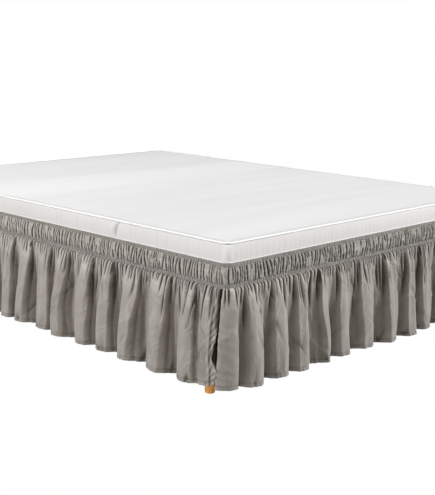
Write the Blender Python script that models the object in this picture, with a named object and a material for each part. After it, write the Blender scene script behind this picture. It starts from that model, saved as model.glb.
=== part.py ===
"""A wrap-around bed skirt on a plain slatted bed with a thin mattress.

The skirt is a shirred heading between two elastic bands, with three gathered
ruffle panels below it: two sides and the foot, split at the foot corners. The
elastic bands run on across the head end, where there is no cloth.

Frame: metres, +Z up, the floor at z = 0, the foot of the bed towards -Y. The
origin is the bottom centre of the whole object's box.
"""

import math

import bmesh
import bpy
import numpy as np

# ---- driving dimensions, in metres --------------------------------------------
BED_WIDTH = 1.524
BED_LENGTH = 2.032
MATTRESS_TOP = 0.515
MATTRESS_SHOWS = 0.064  # the part of the mattress's side above the skirt
CORNER_RADIUS = 0.025
CORNER_STEPS = 6  # straight steps in each drawn quarter circle
TOUCH = 0.0003  # the gap between pieces that touch

# The skirt, from the top down.
BAND_HEIGHT_UPPER = 0.015
SHIRRING_HEIGHT = 0.049
BAND_HEIGHT_LOWER = 0.017
HEM_ABOVE_FLOOR = 0.0535
BAND_OVER_RAIL = 0.003  # the upper band stands this much above the rails
BAND_GAP = 0.0005  # from the rail's face to the back of the cloth and bands
BAND_THICKNESS = 0.003
CLOTH_THICKNESS = 0.002

# The ribs of the shirring.
RIB_PITCH = 0.0185
RIBS_PER_CORNER = 4
RIB_VALLEY = 0.0026  # how far the cloth stands out from the rail between ribs
RIB_CREST = 0.0086  # and at a rib's middle
RIB_END_CREST = 0.0050  # and at its ends, by the bands
RIB_SLANT = 0.0025
PITCH_UNEVENNESS = 0.3  # each way, as a share of the pitch
CREST_UNEVENNESS = 0.25
BACK_STRIDE = 24  # rib points for each face of the heading's flat back
CHANCE_SEED = 7

# The ruffle's gathers and folds.
GATHERS_PER_FOLD = 5
GATHER_DEPTH = 0.0032
GATHER_UNEVENNESS = 0.4
GATHER_FADE = 0.45  # the share of the drop at which the small gathers are gone
SEWN_REACH = 0.0042  # the ruffle's mean distance from the rail where it is sewn on
SEWN_DEPTH = 0.0012
PUFF_REACH = 0.0095  # and just below, where the gathered cloth puffs out
OVERHANG = 0.45  # how far a fold's crest spreads sideways over its valleys
CREST_FULLNESS = 0.85  # under 1, the crests are broader than the valleys
EARLY_SWING = 0.8  # under 1, the folds reach out sooner below the bands
SLIT = 0.005
SLIT_AT = 0.006  # each foot slit lies this far round the corner from the long side
LONGEST_REACH = 0.068  # of any hem, out from the rail

# The wooden bed.
RAIL_THICKNESS = 0.028
RAIL_HEIGHT = 0.150
LEDGER_SIDE = 0.025
SLAT_THICKNESS = 0.018
SLAT_WIDTH = 0.070
SLAT_COUNT = 12
SLAT_END_GAP = 0.002
BEAM_WIDTH = 0.045
BEAM_HEIGHT = 0.090
LEG_RADIUS = 0.0165
LEG_SIDES = 20
LEG_FOOT_ROUND = 0.003
LEG_FROM_SIDE = 0.045
LEG_FROM_END = 0.113
BLOCK_HEIGHT = 0.045
BLOCK_MARGIN = 0.020

# The mattress.
EDGE_ROUND = 0.012
LOWER_EDGE_ROUND = 0.004
PIPING_RADIUS = 0.003
LOWER_PIPING_RADIUS = 0.002

# ---- heights and places that follow -------------------------------------------
SKIRT_TOP = MATTRESS_TOP - MATTRESS_SHOWS
SHIRRING_TOP = SKIRT_TOP - BAND_HEIGHT_UPPER
SHIRRING_BOTTOM = SHIRRING_TOP - SHIRRING_HEIGHT
RUFFLE_TOP = SHIRRING_BOTTOM - BAND_HEIGHT_LOWER
MATTRESS_BOTTOM = SKIRT_TOP - BAND_OVER_RAIL
RAIL_TOP = MATTRESS_BOTTOM - TOUCH
RAIL_BOTTOM = SKIRT_TOP - RAIL_HEIGHT
SLAT_BOTTOM = RAIL_TOP - SLAT_THICKNESS
LEDGER_TOP = SLAT_BOTTOM - TOUCH

BAND_OUT = BAND_GAP + BAND_THICKNESS
# The foot has a ruffle and the head has none, so the bed lies towards +Y.
BED_CENTRE_Y = (LONGEST_REACH - BAND_OUT) / 2

HALF_WIDTH = BED_WIDTH / 2
HALF_LENGTH = BED_LENGTH / 2
SIDE_RUN = BED_LENGTH - 2 * CORNER_RADIUS
END_RUN = BED_WIDTH - 2 * CORNER_RADIUS
ARC_RUN = CORNER_RADIUS * math.pi / 2
FOOT_RUN = END_RUN + 2 * ARC_RUN - SLIT - 2 * SLIT_AT

# ---- folds: one row each, measured along the panel from its slit at a foot corner
# crest: where the fold stands. reach: how far its hem stands out from the rail.
# valley: how far the cloth stands out between this fold and the next.
# lean: how far the fold drifts along the rail towards its hem. rise: hem height.
FOLD_COLUMNS = ("crest", "reach", "valley", "lean", "rise")
SIDE_FOLDS = (
    (0.000, 0.033, 0.034, 0.001, 0.014),
    (0.026, 0.037, 0.034, 0.002, 0.001),
    (0.112, 0.062, 0.011, 0.000, 0.000),
    (0.252, 0.067, 0.010, 0.000, 0.000),
    (0.406, 0.068, 0.012, 0.002, 0.003),
    (0.538, 0.058, 0.009, 0.004, 0.003),
    (0.642, 0.060, 0.013, 0.002, 0.002),
    (0.796, 0.064, 0.010, 0.002, 0.000),
    (0.889, 0.052, 0.011, 0.006, 0.003),
    (1.026, 0.063, 0.012, 0.009, 0.004),
    (1.127, 0.055, 0.009, 0.003, 0.002),
    (1.250, 0.062, 0.012, -0.004, 0.000),
    (1.372, 0.058, 0.010, 0.005, 0.001),
    (1.500, 0.065, 0.011, -0.006, -0.002),
    (1.612, 0.054, 0.012, 0.003, 0.002),
    (1.738, 0.063, 0.010, -0.005, 0.000),
    (1.856, 0.058, 0.014, 0.004, 0.001),
    (SIDE_RUN + SLIT_AT - SLIT / 2, 0.040, 0.014, 0.000, 0.003),
)
FOOT_FOLDS = (
    (0.000, 0.035, 0.012, 0.000, -0.0015),
    (0.104, 0.060, 0.010, -0.003, -0.002),
    (0.224, 0.064, 0.012, -0.003, 0.0025),
    (0.332, 0.059, 0.009, -0.007, -0.003),
    (0.442, 0.060, 0.012, -0.003, -0.001),
    (0.552, 0.058, 0.010, -0.006, 0.002),
    (0.675, 0.062, 0.011, -0.004, 0.003),
    (0.815, 0.067, 0.012, -0.008, -0.003),
    (0.951, 0.066, 0.009, -0.005, -0.005),
    (1.046, 0.054, 0.012, 0.002, -0.002),
    (1.165, 0.062, 0.010, 0.005, -0.001),
    (1.281, 0.059, 0.012, 0.007, 0.000),
    (1.411, 0.062, 0.014, 0.004, -0.001),
    (FOOT_RUN, 0.040, 0.044, 0.000, 0.002),
)
COLUMNS_PER_FOLD = 2 * GATHERS_PER_FOLD  # a crest and a valley for each gather
# The shares of the drop at which the ruffle's cloth has a row of points.
RUFFLE_ROWS = (0.0, 0.07, 0.22, 0.55, 1.0)


def make_material(name, colour, roughness):
    """A plain Principled material."""
    material = bpy.data.materials.new(name)
    material.use_nodes = True
    shader = material.node_tree.nodes["Principled BSDF"]
    shader.inputs["Base Color"].default_value = (*colour, 1.0)
    shader.inputs["Roughness"].default_value = roughness
    shader.inputs["Metallic"].default_value = 0.0
    return material


def add_object(name, data, material):
    """One named object in the scene, for a mesh or a curve, with its material."""
    data.materials.append(material)
    obj = bpy.data.objects.new(name, data)
    bpy.context.scene.collection.objects.link(obj)
    return obj


def add_mesh(name, verts, faces, material):
    """An object from points and faces, with its faces turned outwards."""
    mesh = bpy.data.meshes.new(name)
    mesh.from_pydata([tuple(v) for v in verts], [], [tuple(f) for f in faces])
    solid = bmesh.new()
    solid.from_mesh(mesh)
    bmesh.ops.recalc_face_normals(solid, faces=solid.faces)
    solid.to_mesh(mesh)
    solid.free()
    return add_object(name, mesh, material)


def add_box(name, low, high, material):
    """A box between two corners, with its object placed at its centre."""
    size = [b - a for a, b in zip(low, high)]
    mesh = bpy.data.meshes.new(name)
    cube = bmesh.new()
    bmesh.ops.create_cube(cube, size=1.0)
    bmesh.ops.scale(cube, vec=size, verts=cube.verts)
    cube.to_mesh(mesh)
    cube.free()
    obj = add_object(name, mesh, material)
    obj.location = [(a + b) / 2 for a, b in zip(low, high)]
    return obj


def wrap(along, out):
    """Points on a line that runs round the bed, at a distance out from the rails.

    along is measured on the rails' outline from the head end of the left side,
    down that side, round the foot and up the right side: straight runs joined
    by quarter circles of the corner radius.
    """
    along, out = np.broadcast_arrays(np.asarray(along, float), out)
    foot_start = SIDE_RUN + ARC_RUN
    right_start = foot_start + END_RUN + ARC_RUN
    near_y = BED_CENTRE_Y - HALF_LENGTH + CORNER_RADIUS
    near_x = HALF_WIDTH - CORNER_RADIUS
    # How far each point has turned round the foot's two corners, in radians.
    turn = (
        np.clip((along - SIDE_RUN) / CORNER_RADIUS, 0, math.pi / 2)
        + np.clip((along - foot_start - END_RUN) / CORNER_RADIUS, 0, math.pi / 2)
    )
    normal_x, normal_y = -np.cos(turn), -np.sin(turn)
    centre_x = -near_x + np.clip(along - foot_start, 0, END_RUN)
    centre_y = (
        near_y
        + np.clip(SIDE_RUN - along, 0, None)
        + np.clip(along - right_start, 0, None)
    )
    x = centre_x + (CORNER_RADIUS + out) * normal_x
    y = centre_y + (CORNER_RADIUS + out) * normal_y
    return x, y


def ruffle_surface(rows, start, direction, shares):
    """The outer face of a ruffle panel, as an array of points [share][column].

    Between two crests the cloth swings in to the valley and out again on a
    raised cosine. Both grow down the drop on a quarter sine, while the small
    gathers at the top edge fade out. The crests spread sideways by a sine of
    the same phase, so that the folds are rounder outside than inside.
    """
    table = [dict(zip(FOLD_COLUMNS, row)) for row in rows]
    columns = (len(table) - 1) * COLUMNS_PER_FOLD + 1
    phase = np.arange(columns) / COLUMNS_PER_FOLD
    index = np.minimum(phase.astype(int), len(table) - 2)
    within = phase - index
    blend = within * within * (3 - 2 * within)

    def this(column):
        return np.array([row[column] for row in table])[index]

    def between(column):
        after = np.array([row[column] for row in table])[index + 1]
        return this(column) + (after - this(column)) * blend

    width = np.array([row["crest"] for row in table])
    width = width[index + 1] - width[index]
    swing = (0.5 + 0.5 * np.cos(2 * math.pi * within)) ** CREST_FULLNESS
    hem_out = this("valley") + (between("reach") - this("valley")) * swing
    chance = np.random.default_rng(CHANCE_SEED).uniform(-1, 1, columns)
    zigzag = np.cos(math.pi * np.arange(columns)) * (1 + GATHER_UNEVENNESS * chance)
    full_drop = RUFFLE_TOP - TOUCH - HEM_ABOVE_FLOOR

    surface = []
    for share in shares:
        grown = math.sin(math.pi / 2 * share**EARLY_SWING)
        if share == 0:
            out = SEWN_REACH + SEWN_DEPTH * zigzag
        else:
            faded = max(0.0, 1 - share / GATHER_FADE) ** 2
            out = PUFF_REACH + (hem_out - PUFF_REACH) * grown
            out = out + GATHER_DEPTH * faded * zigzag
        spread = OVERHANG * grown * width * np.sin(2 * math.pi * within) / (2 * math.pi)
        lean = between("lean") * share * share
        along = this("crest") + within * width + spread + lean
        x, y = wrap(start + direction * along, out)
        rise = between("rise") + out * out / (4 * full_drop)
        z = RUFFLE_TOP - TOUCH - share * (full_drop - rise)
        surface.append(np.stack([x, y, z], axis=-1))
    return np.array(surface)


def add_ruffle(name, rows, start, direction, material):
    """A ruffle panel: its outer face, thickened inwards to a sheet of cloth."""
    surface = ruffle_surface(rows, start, direction, RUFFLE_ROWS)
    n_rows, n_cols = surface.shape[:2]
    faces = []
    for r in range(n_rows - 1):
        for c in range(n_cols - 1):
            a = r * n_cols + c
            quad = (a, a + n_cols, a + n_cols + 1, a + 1)
            faces.append(quad if direction > 0 else quad[::-1])
    mesh = bpy.data.meshes.new(name)
    mesh.from_pydata([tuple(p) for p in surface.reshape(-1, 3)], [], faces)
    obj = add_object(name, mesh, material)
    cloth = obj.modifiers.new("cloth", "SOLIDIFY")
    cloth.thickness = CLOTH_THICKNESS
    cloth.offset = -1.0
    cloth.use_rim = True
    return obj


def rib_positions(chance):
    """Where the ribs' valleys and crests stand, in turn, along the bed's outline.

    The straight runs have uneven ribs, and each corner has even ones, so that a
    point falls at each end of every quarter circle. The second list holds the
    places where the flat back has a point.
    """
    places, flat_back = [0.0], [0]
    for run in (SIDE_RUN, ARC_RUN, END_RUN, ARC_RUN, SIDE_RUN):
        corner = run == ARC_RUN
        ribs = RIBS_PER_CORNER if corner else round(run / RIB_PITCH)
        spread = 0.0 if corner else PITCH_UNEVENNESS
        steps = 1 + spread * chance.uniform(-1, 1, 2 * ribs)
        first = len(places) - 1
        places += list(places[-1] + np.cumsum(steps) / steps.sum() * run)
        stride = 1 if corner else BACK_STRIDE
        flat_back += list(range(first + stride, len(places) - stride, stride))
        flat_back.append(len(places) - 1)
    return np.array(places), flat_back


def add_heading(name, material):
    """The shirred strip between the bands: uneven ribs outside, flat inside."""
    chance = np.random.default_rng(CHANCE_SEED)
    along, flat_back = rib_positions(chance)
    count = len(along)
    is_crest = np.arange(count) % 2
    uneven = 1 + CREST_UNEVENNESS * chance.uniform(-1, 1, count)
    slant = RIB_SLANT * chance.uniform(-1, 1, count)
    slant[flat_back] = 0.0
    top, bottom = SHIRRING_TOP - TOUCH, SHIRRING_BOTTOM + TOUCH
    rows = (
        (top, RIB_END_CREST, 1),
        ((top + bottom) / 2, RIB_CREST, 0),
        (bottom, RIB_END_CREST, -1),
    )
    verts = []
    for height, crest, way in rows:
        out = RIB_VALLEY + (crest - RIB_VALLEY) * is_crest * uneven
        x, y = wrap(along + way * slant * is_crest, out)
        verts += [(float(a), float(b), height) for a, b in zip(x, y)]
    back = {}
    for column in flat_back:
        x, y = wrap(along[column], BAND_GAP)
        back[column] = len(verts)
        verts += [(float(x), float(y), top), (float(x), float(y), bottom)]

    faces = []
    for row in (0, 1):
        for column in range(count - 1):
            a = row * count + column
            faces.append((a, a + count, a + count + 1, a + 1))
    for a, b in zip(flat_back, flat_back[1:]):
        upper = list(range(a, b + 1))
        lower = [2 * count + column for column in upper]
        faces.append([*upper, back[b], back[a]])
        faces.append([*lower[::-1], back[a] + 1, back[b] + 1])
        faces.append([back[a], back[b], back[b] + 1, back[a] + 1])
    for column in (0, count - 1):
        ends = [column, count + column, 2 * count + column]
        faces.append([*ends, back[column] + 1, back[column]])
    return add_mesh(name, verts, faces, material)


def rounded_outline(inset):
    """The bed's outline in plan, drawn in by inset, with quarter-circle corners."""
    radius = CORNER_RADIUS - inset
    points = []
    for quarter, (side, end) in enumerate(((1, 1), (-1, 1), (-1, -1), (1, -1))):
        middle_x = side * (HALF_WIDTH - CORNER_RADIUS)
        middle_y = BED_CENTRE_Y + end * (HALF_LENGTH - CORNER_RADIUS)
        for step in range(CORNER_STEPS + 1):
            angle = math.pi / 2 * (quarter + step / CORNER_STEPS)
            x = middle_x + radius * math.cos(angle)
            y = middle_y + radius * math.sin(angle)
            points.append((x, y))
    return points


def ring_faces(rings, count, closed):
    """The quads between rings of count points each, the last joined to the first
    if closed."""
    faces = []
    for ring in range(rings if closed else rings - 1):
        a, b = ring * count, (ring + 1) % rings * count
        for i in range(count):
            j = (i + 1) % count
            faces.append((a + i, a + j, b + j, b + i))
    return faces


def add_band(name, low, high, material):
    """A flat elastic band that runs right round the bed."""
    inner, outer = rounded_outline(-BAND_GAP), rounded_outline(-BAND_OUT)
    rings = [(outer, low), (outer, high), (inner, high), (inner, low)]
    verts = [(x, y, z) for outline, z in rings for x, y in outline]
    faces = ring_faces(len(rings), len(inner), closed=True)
    return add_mesh(name, verts, faces, material)


def add_mattress(name, material):
    """A thin filled pad with rounded edges and flat faces."""
    rings = []
    for radius, edge, way in (
        (LOWER_EDGE_ROUND, MATTRESS_BOTTOM, 1),
        (EDGE_ROUND, MATTRESS_TOP, -1),
    ):
        arc = []
        for step in range(3):
            angle = math.pi / 4 * step
            inset = radius * (1 - math.sin(angle))
            arc.append((inset, edge + way * radius * (1 - math.cos(angle))))
        rings += arc[::way]
    verts = [(x, y, z) for inset, z in rings for x, y in rounded_outline(inset)]
    count = len(verts) // len(rings)
    faces = ring_faces(len(rings), count, closed=False)
    faces.append(list(range(count)))
    faces.append(list(range(len(verts) - count, len(verts))))
    return add_mesh(name, verts, faces, material)


def add_piping(name, inset, height, radius, material):
    """A cord sewn round the mattress, at an inset from the bed's outline."""
    outline = rounded_outline(inset)
    curve = bpy.data.curves.new(name, "CURVE")
    curve.dimensions = "3D"
    curve.bevel_depth = radius
    curve.bevel_resolution = 1
    spline = curve.splines.new("POLY")
    spline.points.add(len(outline) - 1)
    for point, (x, y) in zip(spline.points, outline):
        point.co = (x, y, height, 1.0)
    spline.use_cyclic_u = True
    return add_object(name, curve, material)


def add_end_rail(name, side, material):
    """The rail across an end of the bed, its outer corners rounded.

    side is -1 at the foot and 1 at the head.
    """
    near = HALF_WIDTH - CORNER_RADIUS
    outer = BED_CENTRE_Y + side * HALF_LENGTH
    inner = outer - side * RAIL_THICKNESS
    plan = [(-HALF_WIDTH, inner), (HALF_WIDTH, inner)]
    for sign in (1, -1):
        for step in range(CORNER_STEPS + 1):
            turned = step if sign > 0 else CORNER_STEPS - step
            angle = math.pi / 2 * turned / CORNER_STEPS
            x = sign * (near + CORNER_RADIUS * math.cos(angle))
            y = outer - side * CORNER_RADIUS * (1 - math.sin(angle))
            plan.append((x, y))
    count = len(plan)
    verts = [(x, y, z) for z in (RAIL_BOTTOM, RAIL_TOP) for x, y in plan]
    faces = [list(range(count)), [count + i for i in range(count)]]
    for i in range(count):
        j = (i + 1) % count
        faces.append((i, j, count + j, count + i))
    return add_mesh(name, verts, faces, material)


def add_leg(name, x, y, top, material):
    """A round wooden leg with a softened foot, standing on the floor."""
    mesh = bpy.data.meshes.new(name)
    turned = bmesh.new()
    bmesh.ops.create_cone(
        turned,
        cap_ends=True,
        segments=LEG_SIDES,
        radius1=LEG_RADIUS,
        radius2=LEG_RADIUS,
        depth=top,
    )
    foot = [e for e in turned.edges if all(v.co.z < 0 for v in e.verts)]
    bmesh.ops.bevel(
        turned, geom=foot, offset=LEG_FOOT_ROUND, segments=1, affect="EDGES"
    )
    turned.to_mesh(mesh)
    turned.free()
    obj = add_object(name, mesh, material)
    obj.location = (x, y, top / 2)
    return obj


def add_bed_frame(wood):
    """Rails, ledgers, slats, centre beam, corner blocks and legs."""
    inner_x = HALF_WIDTH - RAIL_THICKNESS
    foot_y = BED_CENTRE_Y - HALF_LENGTH + RAIL_THICKNESS + TOUCH
    head_y = BED_CENTRE_Y + HALF_LENGTH - RAIL_THICKNESS - TOUCH
    add_end_rail("foot_rail", -1, wood)
    add_end_rail("head_rail", 1, wood)
    for side, word in ((-1, "left"), (1, "right")):
        edges = sorted((side * inner_x, side * HALF_WIDTH))
        add_box(
            f"side_rail_{word}",
            (edges[0], foot_y, RAIL_BOTTOM),
            (edges[1], head_y, RAIL_TOP),
            wood,
        )
        edges = sorted((side * (inner_x - TOUCH - LEDGER_SIDE), side * (inner_x - TOUCH)))
        add_box(
            f"ledger_{word}",
            (edges[0], foot_y, LEDGER_TOP - LEDGER_SIDE),
            (edges[1], head_y, LEDGER_TOP),
            wood,
        )

    half_slat = inner_x - SLAT_END_GAP
    pitch = (head_y - foot_y) / SLAT_COUNT
    for number in range(SLAT_COUNT):
        middle = foot_y + (number + 0.5) * pitch
        add_box(
            f"slat_{number + 1:02d}",
            (-half_slat, middle - SLAT_WIDTH / 2, SLAT_BOTTOM),
            (half_slat, middle + SLAT_WIDTH / 2, RAIL_TOP),
            wood,
        )

    beam_bottom = LEDGER_TOP - BEAM_HEIGHT
    add_box(
        "centre_beam",
        (-BEAM_WIDTH / 2, foot_y, beam_bottom),
        (BEAM_WIDTH / 2, head_y, LEDGER_TOP),
        wood,
    )
    add_leg("leg_centre", 0.0, BED_CENTRE_Y, beam_bottom - TOUCH, wood)

    leg_x = HALF_WIDTH - LEG_FROM_SIDE
    for end, where in ((-1, "foot"), (1, "head")):
        leg_y = BED_CENTRE_Y + end * (HALF_LENGTH - LEG_FROM_END)
        rail_y = foot_y if end < 0 else head_y
        far_y = leg_y - end * (LEG_RADIUS + BLOCK_MARGIN)
        for side, word in ((-1, "left"), (1, "right")):
            edges_x = sorted(
                (side * (inner_x - TOUCH), side * (leg_x - LEG_RADIUS - BLOCK_MARGIN))
            )
            edges_y = sorted((rail_y, far_y))
            add_box(
                f"block_{where}_{word}",
                (edges_x[0], edges_y[0], RAIL_BOTTOM),
                (edges_x[1], edges_y[1], RAIL_BOTTOM + BLOCK_HEIGHT),
                wood,
            )
            add_leg(
                f"leg_{where}_{word}", side * leg_x, leg_y, RAIL_BOTTOM - TOUCH, wood
            )


def main():
    for obj in list(bpy.data.objects):
        bpy.data.objects.remove(obj)

    cloth = make_material("skirt_cloth", (0.30, 0.28, 0.26), 0.8)
    elastic = make_material("elastic", (0.26, 0.24, 0.23), 0.85)
    ticking = make_material("mattress_cloth", (0.86, 0.86, 0.87), 0.85)
    wood = make_material("wood", (0.55, 0.29, 0.10), 0.5)

    add_bed_frame(wood)
    add_mattress("mattress", ticking)
    reach = EDGE_ROUND + TOUCH + PIPING_RADIUS
    inset = EDGE_ROUND - reach * math.sin(math.pi / 4)
    height = MATTRESS_TOP - inset
    add_piping("piping_upper", inset, height, PIPING_RADIUS, ticking)
    reach = TOUCH + LOWER_PIPING_RADIUS
    add_piping(
        "piping_lower", -reach, SKIRT_TOP + reach, LOWER_PIPING_RADIUS, ticking
    )

    add_band("elastic_upper", SHIRRING_TOP, SKIRT_TOP, elastic)
    add_heading("shirred_heading", cloth)
    add_band("elastic_lower", RUFFLE_TOP, SHIRRING_BOTTOM, elastic)

    slit_at = SIDE_RUN + SLIT_AT
    foot_start = slit_at + SLIT / 2
    add_ruffle("ruffle_left", SIDE_FOLDS, slit_at - SLIT / 2, -1, cloth)
    add_ruffle("ruffle_foot", FOOT_FOLDS, foot_start, 1, cloth)
    add_ruffle("ruffle_right", SIDE_FOLDS, foot_start + FOOT_RUN + SLIT, 1, cloth)


main()
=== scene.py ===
"""A wrap-around bed skirt on a plain slatted bed with a thin mattress.

Metres, +Z up, the floor at z = 0 and the foot of the bed towards -Y. The pieces
follow the solids of the frame: the wooden bed, the mattress with its piping, then
the skirt from its upper elastic down to the hems of its three ruffles.
"""

import math

import bmesh
import bpy
import numpy as np
from mathutils import Matrix, Vector


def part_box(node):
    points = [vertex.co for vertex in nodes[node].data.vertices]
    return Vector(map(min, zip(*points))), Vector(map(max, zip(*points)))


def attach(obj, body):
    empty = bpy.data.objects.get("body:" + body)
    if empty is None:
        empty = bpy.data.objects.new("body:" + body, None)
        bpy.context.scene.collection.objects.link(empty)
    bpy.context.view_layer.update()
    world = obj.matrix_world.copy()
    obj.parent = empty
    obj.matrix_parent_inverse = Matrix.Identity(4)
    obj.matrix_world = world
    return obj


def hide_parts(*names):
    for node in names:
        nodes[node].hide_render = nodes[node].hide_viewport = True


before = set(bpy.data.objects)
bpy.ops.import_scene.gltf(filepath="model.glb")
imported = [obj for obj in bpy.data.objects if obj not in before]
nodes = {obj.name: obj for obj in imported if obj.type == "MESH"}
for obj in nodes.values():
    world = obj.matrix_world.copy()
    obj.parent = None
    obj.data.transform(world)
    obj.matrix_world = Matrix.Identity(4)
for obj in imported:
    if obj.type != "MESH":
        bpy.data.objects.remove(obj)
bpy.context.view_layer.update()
scene = bpy.context.scene

# ---- camera --------------------------------------------------------------------
# A viewer stands off the near corner of the foot end, a little above the bed, and
# looks along its diagonal. The camera's place is measured from that corner of the
# mattress's top.
IMAGE_HEIGHT = 495
FOCAL_PIXELS = 1010.4
SENSOR_HEIGHT = 36.0
CAMERA_FROM_CORNER = (-2.142, -2.093, 0.616)
CAMERA_YAW, CAMERA_PITCH, CAMERA_ROLL = (math.radians(a) for a in (44.91, 11.85, 0.78))


def node_box(name):
    """The low and the high corner of a node's box, as arrays."""
    return (np.array(corner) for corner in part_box(name))


mattress_low, mattress_high = node_box("mattress")
near_corner = np.array([mattress_low[0], mattress_low[1], mattress_high[2]])


def camera_axes(yaw, pitch, roll):
    """Right, up and backward axes of a camera turned by yaw, dipped and rolled."""
    ahead = np.array(
        [math.cos(yaw) * math.cos(pitch), math.sin(yaw) * math.cos(pitch), -math.sin(pitch)]
    )
    level = np.array([math.sin(yaw), -math.cos(yaw), 0.0])
    upward = np.cross(level, ahead)
    right = math.cos(roll) * level + math.sin(roll) * upward
    up = math.cos(roll) * upward - math.sin(roll) * level
    return right, up, -ahead


camera = bpy.data.objects.new("camera", bpy.data.cameras.new("camera"))
scene.collection.objects.link(camera)
camera.data.sensor_fit = "VERTICAL"
camera.data.sensor_height = SENSOR_HEIGHT
camera.data.lens = SENSOR_HEIGHT * FOCAL_PIXELS / IMAGE_HEIGHT
columns = camera_axes(CAMERA_YAW, CAMERA_PITCH, CAMERA_ROLL)
turned = Matrix(np.array(columns).T.tolist()).to_4x4()
turned.translation = near_corner + np.array(CAMERA_FROM_CORNER)
camera.matrix_world = turned
scene.camera = camera
scene.view_settings.view_transform = "Standard"

# ---- light ---------------------------------------------------------------------
# One soft box stands to the left of the long side and a larger one farther off, to
# the right of the foot. A wide faint one is in front and another overhead. Pale
# walls return a low even light, and a narrow spot lifts the foot of the near leg.
LIGHTS = (
    # name, place, aim, side of the box, power in watts
    ("key_light", (-4.9, 0.7, 3.0), (-0.2, -0.2, 0.3), 1.6, 222.0),
    ("fill_light", (5.4, -6.1, 4.0), (0.2, -0.4, 0.3), 2.0, 735.0),
    ("front_light", (-3.6, -3.8, 2.6), (-0.5, -0.6, 0.3), 3.0, 44.0),
    ("top_light", (-0.4, -0.6, 5.0), (0.0, -0.2, 0.3), 2.2, 76.0),
)
LAMP_TINT = (0.955, 0.992, 1.0)
SPOT_PLACE = (-3.1, -2.1, 0.38)
SPOT_POWER = 165.0
SPOT_CONE = math.radians(2.3)
SPOT_RADIUS = 0.02
SPOT_AIM_HEIGHT = 0.016
ROOM_LIGHT = 0.175
ROOM_TINT = (1.0, 0.945, 0.89, 1.0)


def add_lamp(name, kind, place, aim, power):
    """A lamp at its place, turned so that it shines at aim."""
    lamp = bpy.data.objects.new(name, bpy.data.lights.new(name, kind))
    scene.collection.objects.link(lamp)
    lamp.data.energy = power
    lamp.location = place
    towards = Vector(aim) - lamp.location
    lamp.rotation_euler = towards.to_track_quat("-Z", "Y").to_euler()
    return lamp


def feed(tree, socket, value):
    """Gives a socket a plain value, or a link where value is another node's output."""
    if isinstance(value, bpy.types.NodeSocket):
        tree.links.new(value, socket)
    else:
        socket.default_value = value


def fill(tree, node, **inputs):
    """Feeds a node's inputs by their names."""
    for name, value in inputs.items():
        feed(tree, node.inputs[name.replace("_", " ")], value)
    return node


def add_node(tree, kind, **inputs):
    """A new shader node with the given inputs."""
    return fill(tree, tree.nodes.new(f"ShaderNode{kind}"), **inputs)


def either(tree, share, first, second):
    """The shader first where share is 0 and second where it is 1."""
    node = tree.nodes.new("ShaderNodeMixShader")
    tree.links.new(share, node.inputs["Fac"])
    tree.links.new(first.outputs[0], node.inputs[1])
    tree.links.new(second.outputs[0], node.inputs[2])
    return node.outputs["Shader"]


for name, place, aim, side, power in LIGHTS:
    lamp = add_lamp(name, "AREA", place, aim, power)
    lamp.data.size = side
    lamp.data.color = LAMP_TINT

leg_low, leg_high = node_box("leg_foot_left")
leg_x, leg_y = (leg_low + leg_high)[:2] / 2
spot = add_lamp("leg_light", "SPOT", SPOT_PLACE, (leg_x, leg_y, SPOT_AIM_HEIGHT), SPOT_POWER)
spot.data.spot_size = SPOT_CONE
spot.data.spot_blend = 0.5
spot.data.shadow_soft_size = SPOT_RADIUS

world = bpy.data.worlds.new("pale_room")
world.use_nodes = True
scene.world = world
tree = world.node_tree
lit = fill(tree, tree.nodes["Background"], Color=ROOM_TINT, Strength=ROOM_LIGHT)
seen = add_node(tree, "Background", Color=(1.0, 1.0, 1.0, 1.0))
by_camera = add_node(tree, "LightPath").outputs["Is Camera Ray"]
room = either(tree, by_camera, lit, seen)
tree.links.new(room, tree.nodes["World Output"].inputs["Surface"])

# ---- floor ---------------------------------------------------------------------
# A plain pale studio floor, bright enough to run into the white behind it. Only
# the part that lies deep under the bed keeps its own shade.
FLOOR_SIZE = 16.0
FLOOR_SHADE = (0.42, 0.42, 0.42, 1.0)
SHADE_INSET = 0.22  # from the rails' outline to where the shade is full
SHADE_FADE = 0.10


def add_surface(name, grid, material, closed=False, looped=False):
    """A mesh from a grid of points [row][column], faces to the right of its rows.

    A closed grid also joins its last column to its first, and a looped one its
    last row to its first.
    """
    rows, count = grid.shape[:2]
    index = np.arange(rows * count).reshape(rows, count)
    if closed:
        index = np.concatenate([index, index[:, :1]], axis=1)
    if looped:
        index = np.concatenate([index, index[:1]], axis=0)
    quads = np.stack(
        [index[:-1, :-1], index[1:, :-1], index[1:, 1:], index[:-1, 1:]], axis=-1
    ).reshape(-1, 4)
    mesh = bpy.data.meshes.new(name)
    mesh.from_pydata(grid.reshape(-1, 3), [], quads)
    mesh.shade_smooth()
    mesh.materials.append(material)
    obj = bpy.data.objects.new(name, mesh)
    scene.collection.objects.link(obj)
    return obj


def new_material(name, **plain):
    """A material with its node tree and its Principled shader, filled with plain."""
    material = bpy.data.materials.new(name)
    material.use_nodes = True
    tree = material.node_tree
    return material, tree, fill(tree, tree.nodes["Principled BSDF"], **plain)


def maths(tree, operation, *values):
    """A Math node's output, for numbers or other nodes' outputs."""
    node = tree.nodes.new("ShaderNodeMath")
    node.operation = operation
    for socket, value in zip(node.inputs, values):
        feed(tree, socket, value)
    return node.outputs[0]


def between(tree, value, low, high, to_low=0.0, to_high=1.0):
    """A Map Range node's output: value from low..high to to_low..to_high, smoothly."""
    node = add_node(tree, "MapRange", Value=value, From_Min=low, From_Max=high)
    node.interpolation_type = "SMOOTHSTEP"
    fill(tree, node, To_Min=to_low, To_Max=to_high)
    return node.outputs["Result"]


rail_low, rail_high = node_box("foot_rail")
half_width = rail_high[0]
foot_end = rail_low[1]
head_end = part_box("head_rail")[1][1]
bed_middle_y = (foot_end + head_end) / 2
half_length = (head_end - foot_end) / 2

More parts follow.
